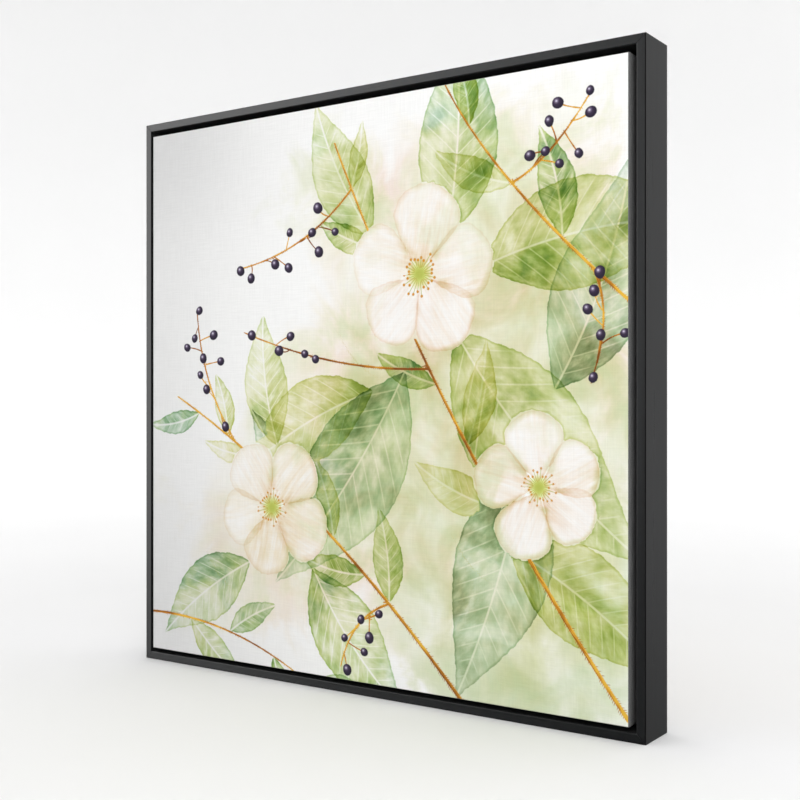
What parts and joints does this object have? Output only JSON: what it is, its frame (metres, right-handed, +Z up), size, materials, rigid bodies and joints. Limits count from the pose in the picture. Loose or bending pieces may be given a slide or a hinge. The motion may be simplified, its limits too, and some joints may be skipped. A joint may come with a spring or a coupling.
{
  "type": "framed canvas picture",
  "caption": "Square stretched canvas picture held in a black wooden floater frame, with a narrow gap all round between cloth and rail, and a hanger behind.",
  "frame": {"origin": "middle of the underside of the lower rail, halfway through the whole depth from the cloth's face to the bumpers' backs", "axes": "+Z up the picture, +X to the right as seen from the front, and the picture faces -Y"},
  "size_m": [0.6402, 0.0572, 0.6402],
  "materials": {
    "black_wood": "satin black stain over sanded wood",
    "pine": "planed and left raw",
    "canvas": "primed cotton duck with a matte printed front and dark wrapped sides",
    "zinc_steel": "zinc plated",
    "brassed_steel": "brass plated steel strip",
    "rubber": "matte moulded rubber"
  },
  "bodies": {
    "root": {"bar_bottom": "pine", "bar_left": "pine", "bar_right": "pine", "bar_top": "pine", "bumper_left": "rubber", "bumper_right": "rubber", "canvas": "canvas", "hanger": "brassed_steel", "hanger_nail_left": "brassed_steel", "hanger_nail_right": "brassed_steel", "rail_bottom": "black_wood", "rail_left": "black_wood", "rail_right": "black_wood", "rail_top": "black_wood", "screw_bottom_1": "zinc_steel", "screw_bottom_2": "zinc_steel", "screw_left_1": "zinc_steel", "screw_left_2": "zinc_steel", "screw_right_1": "zinc_steel", "screw_right_2": "zinc_steel", "screw_top_1": "zinc_steel", "screw_top_2": "zinc_steel"}
  },
  "joints": []
}
